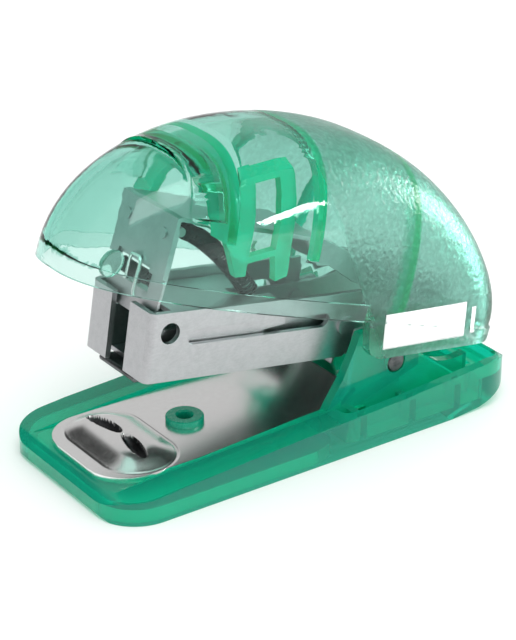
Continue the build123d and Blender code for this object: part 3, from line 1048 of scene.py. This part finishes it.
@dataclass
class Pusher:
    """The saddle that pushes the staples, and the coil that pulls it. Sizes in millimetres.

    Args:
        finishes: the finishes.
        turns: how many turns the coil has.
        radius: from the coil's middle line to the wire's middle.
        wire: the wire's radius.
        top: where the coil hangs behind the carrier.
        knee: the point towards which it bows.
        foot: where it holds the pusher.
    """

    finishes: Finishes
    turns: int = 30
    radius: float = 1.14
    wire: float = 0.19
    top: tuple[float, float, float] = (-13.3, 0.0, 32.2)
    knee: tuple[float, float, float] = (-8.6, 0.0, 29.4)
    foot: tuple[float, float, float] = (-3.2, 0.0, 20.9)

    def build(self) -> None:
        """Builds the pusher's pieces."""
        rounded_node("pusher", "pusher_saddle", self.finishes.satin, Body.PUSHER, Slot.STEEL, 0.1 * MM)
        dress_node("pusher_peg", self.finishes.satin)
        self._pull_coil()

    def _pull_coil(self) -> None:
        """The pulled coil from behind the carrier down to the pusher."""
        top, knee, foot = Vector(self.top), Vector(self.knee), Vector(self.foot)

        def path(share: float) -> Vector:
            """The bowed line from the carrier to the pusher.

            Args:
                share: how far along it, from 0 to 1.

            Returns:
                The place, in metres.
            """
            back = 1.0 - share
            return (top * back * back + knee * (2 * back * share) + foot * share * share) * MM

        piece = coil(path, self.turns, self.radius * MM, self.wire * MM, "pull_coil", self.finishes.wire)
        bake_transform(piece)
        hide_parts("pusher_spring")


# ---------------------------------------------------------------- handle


@dataclass
class Handle:
    """The domed cover and the steel carrier under it. Sizes in millimetres, in the handle's frame.

    Args:
        finishes: the finishes.
        rim: the height of the dome's rim.
        arches: each inner arch's middle, half thickness and the height of its feet.
        coil_ends: the foot coil's ends, as along, up and across.
        coil_legs: the ends of its two straight legs, in the same order.
        coil_turns: how many turns it has.
        coil_radius: from its middle line to the wire's middle.
        coil_wire: its wire's radius.
        hook_face: the wire hook's place along the handle.
        hook_bends: its corners, as across and up.
        hook_wire: its wire's radius.
        tongue: the tongue's half width, half height and lean.
        tongue_sheet: its thickness.
        tongue_face: its place, as along, up and across.
        panel: the frame of the printed panel.
        panel_slant: how far its upright edges lean.
        marks: the printed rectangles, as left, right, low and high.
        print_gap: how far the print lies off the skin.
        print_film: its thickness.
    """

    finishes: Finishes
    rim: float = -2.61
    arches: tuple[tuple[float, float, float], ...] = (
        (-42.04, 0.65, 5.6),
        (-29.04, 0.65, 4.8),
        (-12.04, 0.65, -2.6),
    )
    coil_ends: tuple[tuple[float, float, float], ...] = ((-46.2, -2.4, 4.2), (-46.2, -2.4, -2.9))
    coil_legs: tuple[tuple[float, float, float], ...] = ((-44.6, -4.6, 4.25), (-44.5, -4.4, -2.95))
    coil_turns: int = 17
    coil_radius: float = 0.86
    coil_wire: float = 0.17
    hook_face: float = -47.65
    hook_bends: tuple[tuple[float, float], ...] = (
        (0.9, -3.6), (0.9, -0.5), (0.5, 0.1), (-1.0, 0.1), (-1.5, -0.5), (-1.5, -4.4), (-1.85, -5.0),
    )
    hook_wire: float = 0.26
    tongue: tuple[float, float, float] = (1.7, 1.9, 0.3)
    tongue_sheet: float = 0.9
    tongue_face: tuple[float, float, float] = (-49.9, -1.9, 2.0)
    panel: SideFrame = SideFrame((16.3, 15.6), 7.7)
    panel_slant: float = 0.05
    marks: tuple[tuple[float, float, float, float], ...] = (
        (-7.2, 7.2, -2.55, 2.55),
        (8.3, 9.1, -2.3, 1.6),
    )
    print_gap: float = 0.05
    print_film: float = 0.03

    def build(self) -> None:
        """Builds every piece of the handle."""
        self._dome()
        for node, name, finish, slot, width in (
            ("spring_guard", "guard_leaves", self.finishes.guard, Slot.COVER_GREEN, 0.15 * MM),
            ("carrier_arm", "carrier_sheet", self.finishes.satin, Slot.STEEL, 0.1 * MM),
            ("driver_blade", "driver_sheet", self.finishes.satin, Slot.STEEL, 0.05 * MM),
        ):
            rounded_node(node, name, finish, Body.HANDLE, slot, width)
        for node in ("blade_rivets", "spring_peg", "foot_peg"):
            dress_node(node, self.finishes.satin)
        self._foot_coil()
        self._hook()
        self._tongue()
        self._panel()

    def _dome(self) -> None:
        """The cover, with the faces of its inner arches in the denser finish."""
        mesh = merged_copy("cover")
        turned = HANDLE_FRAME.matrix().to_3x3().inverted()
        for face in mesh.faces:
            place = HANDLE_FRAME.local(face.calc_center_median())
            radial = Vector((0.0, place.y, place.z - self.rim)).normalized()
            on_arch = any(
                abs(place.x - middle) < half + 0.03 and place.z > foot - 0.05
                for middle, half, foot in self.arches
            )
            if on_arch and (turned @ face.normal).dot(radial) < 0.35:
                face.material_index = 1
        piece = to_object(mesh, "cover_dome", self.finishes.cover, self.finishes.arch, crease=40.0)
        settle(piece, Body.HANDLE, Slot.COVER_GREEN, "cover")

    def _foot_coil(self) -> None:
        """The black torsion coil in the driver's window, with its two straight legs."""
        steps = 14
        start, end = (HANDLE_FRAME.point(*place) for place in self.coil_ends)
        first, last = (HANDLE_FRAME.point(*place) for place in self.coil_legs)
        places = [first]
        for index in range(self.coil_turns * steps + 1):
            turn = 2 * pi * index / steps
            lift = HANDLE_FRAME.point(cos(turn), sin(turn)) - HANDLE_FRAME.point(0, 0)
            places.append(start.lerp(end, index / (self.coil_turns * steps)) + lift * self.coil_radius)
        places.append(last)
        piece = wire_piece(places, self.coil_wire * MM, "foot_coil_wire", self.finishes.wire)
        settle(piece, Body.HANDLE, Slot.BLACK, "foot_coil")

    def _hook(self) -> None:
        """The bright square wire hook that lies on the carrier's front."""
        places = [HANDLE_FRAME.point(self.hook_face, up, across) for across, up in self.hook_bends]
        piece = wire_piece(places, self.hook_wire * MM, "carrier_hook", self.finishes.bright, resolution=3)
        settle(piece, Body.HANDLE, Slot.STEEL)

    def _tongue(self) -> None:
        """The small clear rounded tongue in front of the driver."""
        mesh = bmesh.new()
        bmesh.ops.create_circle(mesh, cap_ends=True, segments=48, radius=1.0)
        wide, high, lean = self.tongue
        for vert in mesh.verts:
            x, y = vert.co.x, vert.co.y
            vert.co = Vector((x * wide, y * high + lean * x, 0.0))
        raised = bmesh.ops.extrude_face_region(mesh, geom=mesh.faces[:])
        moved = [part for part in raised["geom"] if isinstance(part, bmesh.types.BMVert)]
        bmesh.ops.translate(mesh, verts=moved, vec=(0, 0, self.tongue_sheet))
        bmesh.ops.recalc_face_normals(mesh, faces=mesh.faces)
        soften(mesh, width=0.2, angle=40.0, segments=3)
        stand = HANDLE_FRAME.matrix(*self.tongue_face) @ Matrix.Rotation(radians(90), 4, "X")
        bmesh.ops.transform(mesh, matrix=stand @ Matrix.Scale(MM, 4), verts=mesh.verts)
        piece = to_object(mesh, "clear_tongue", self.finishes.clear)
        settle(piece, Body.HANDLE, Slot.COVER_GREEN)

    def _panel(self) -> None:
        """A plain white panel and a small bar, printed on the skirt's near side."""
        mesh = bmesh.new()
        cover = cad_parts["cover"].data
        skin = BVHTree.FromPolygons([v.co for v in cover.vertices], [p.vertices[:] for p in cover.polygons])
        for left, right, low, high in self.marks:
            made = bmesh.ops.create_grid(mesh, x_segments=24, y_segments=12, size=0.5)
            for vert in made["verts"]:
                up = (low + high) / 2 + vert.co.y * (high - low)
                along = (left + right) / 2 + vert.co.x * (right - left) - self.panel_slant * up
                start = self.panel.point(along, up, -30.0)
                hit, normal, _, _ = skin.ray_cast(start, Vector((0.0, 1.0, 0.0)))
                vert.co = hit + normal * self.print_gap * MM
        bmesh.ops.remove_doubles(mesh, verts=mesh.verts, dist=1e-7)
        bmesh.ops.recalc_face_normals(mesh, faces=mesh.faces)
        if sum(face.normal.y for face in mesh.faces) > 0:
            bmesh.ops.reverse_faces(mesh, faces=mesh.faces)
        piece = to_object(mesh, "side_panel_print", self.finishes.ink)
        film = piece.modifiers.new("film", "SOLIDIFY")
        film.thickness = self.print_film * MM
        settle(piece, Body.HANDLE, Slot.COVER_GREEN)


# ---------------------------------------------------------------- studio


@dataclass(frozen=True)
class Lamp:
    """A soft lamp that faces the stapler.

    Args:
        name: the lamp's name.
        place: its middle, in metres.
        size: its height and width, in metres.
        power: its power, in watts.
        lean: how far it is turned about its own axis, in degrees.
    """

    name: str
    place: tuple[float, float, float]
    size: tuple[float, float]
    power: float
    lean: float = 0.0

    def build(self) -> None:
        """Hangs the lamp."""
        data = bpy.data.lights.new(self.name, "AREA")
        data.shape = "RECTANGLE"
        data.size_y, data.size = self.size
        data.energy = self.power
        lamp = bpy.data.objects.new(self.name, data)
        aim = (Vector((0.0, 0.0, 0.03)) - Vector(self.place)).to_track_quat("-Z", "Y").to_matrix().to_4x4()
        turn = Matrix.Rotation(radians(self.lean), 4, "Z")
        lamp.matrix_world = Matrix.Translation(self.place) @ aim @ turn
        bpy.context.scene.collection.objects.link(lamp)


@dataclass
class Studio:
    """The floor, the lamps and the camera.

    Args:
        eye: the camera's place, in metres.
        azimuth: how far the camera is turned to the rear side, in degrees.
        elevation: how far it looks down, in degrees.
        lens: its focal length on a 36 mm long side, in millimetres.
        flag: the direction of the dark flag.
        mirror_dim: how far mirrored rays see the room dimmed.
        lamps: the lamps.
    """

    eye: tuple[float, float, float] = (-0.1578, -0.2209, 0.1458)
    azimuth: float = 35.30
    elevation: float = 25.67
    lens: float = 123.75
    flag: tuple[float, float, float] = (-0.30, 0.74, 0.42)
    mirror_dim: float = 0.42
    lamps: tuple[Lamp, ...] = (
        Lamp("overhead", place=(-0.10, -0.25, 0.60), size=(0.40, 0.40), power=1.5),
        Lamp("side_strip", place=(0.265, -0.425, 0.093), size=(0.026, 0.150), power=0.34, lean=22.0),
        Lamp("rear_strip", place=(0.50, -0.10, 0.10), size=(0.08, 0.20), power=0.95),
    )

    def build(self) -> None:
        """Builds the studio."""
        self._floor()
        self._camera()
        self._world()
        for lamp in self.lamps:
            lamp.build()
        bpy.context.scene.view_settings.view_transform = "Standard"
        bpy.context.scene.view_settings.look = "None"

    def _floor(self) -> None:
        """A wide pale floor."""
        mesh = bmesh.new()
        bmesh.ops.create_grid(mesh, x_segments=4, y_segments=4, size=3.0)
        material, tree, shader, _ = new_material("pale_floor")
        place = tree.add("TexCoord").outputs["Object"]
        shade = tree.mix(tree.noise(place, 6.0), (0.93, 0.93, 0.93), (0.95, 0.95, 0.95))
        tree.put(shader, Base_Color=shade, Roughness=0.6)
        floor = to_object(mesh, "floor", material)

    def _camera(self) -> None:
        """The camera at its viewing angle."""
        data = bpy.data.cameras.new("camera")
        data.lens = self.lens
        data.sensor_width = 36.0
        data.clip_start = 0.01
        data.clip_end = 20.0
        camera = bpy.data.objects.new("camera", data)
        camera.rotation_euler = (radians(90.0 - self.elevation), 0.0, -radians(self.azimuth))
        camera.location = self.eye
        bpy.context.scene.collection.objects.link(camera)
        bpy.context.scene.camera = camera

    def _world(self) -> None:
        """A white room with a dark flag at the far left, which the steel reflects."""
        world = bpy.data.worlds.new("room")
        world.use_nodes = True
        bpy.context.scene.world = world
        tree = Tree(world.node_tree)
        backdrop = world.node_tree.nodes["Background"]
        toward = tree.add("TexCoord").outputs["Generated"]
        dot = tree.add("VectorMath", operation="DOT_PRODUCT")
        tree.tree.links.new(toward, dot.inputs[0])
        dot.inputs[1].default_value = Vector(self.flag).normalized()
        flag = tree.ramp(dot.outputs["Value"], 0.78, 0.92)
        path = tree.add("LightPath")
        direct = tree.math("LESS_THAN", path.outputs["Transmission Depth"], 0.5)
        # mirrored, the studio is dimmer all round and dark where the flag stands
        dimmed = tree.math("MAXIMUM", tree.math("MULTIPLY", flag, direct), self.mirror_dim)
        bounced, passed = path.outputs["Is Glossy Ray"], path.outputs["Is Transmission Ray"]
        mirrored = tree.math("SUBTRACT", bounced, passed, clamp=True)
        hidden = tree.math("MULTIPLY", dimmed, mirrored)
        shade = tree.mix(hidden, (1.0, 1.0, 1.0), (0.02, 0.02, 0.02))
        tree.put(backdrop, Color=shade, Strength=0.95)


def main() -> None:
    """Builds the stapler's groups in order, then the studio."""
    logging.basicConfig(level=logging.INFO, format="%(name)s: %(message)s")
    finishes = Finishes()
    for group in (Base(finishes), Magazine(finishes), Pusher(finishes), Handle(finishes)):
        group.build()
        log.info("%s is built", type(group).__name__)
    Studio().build()


if __name__ == "__main__":
    main()
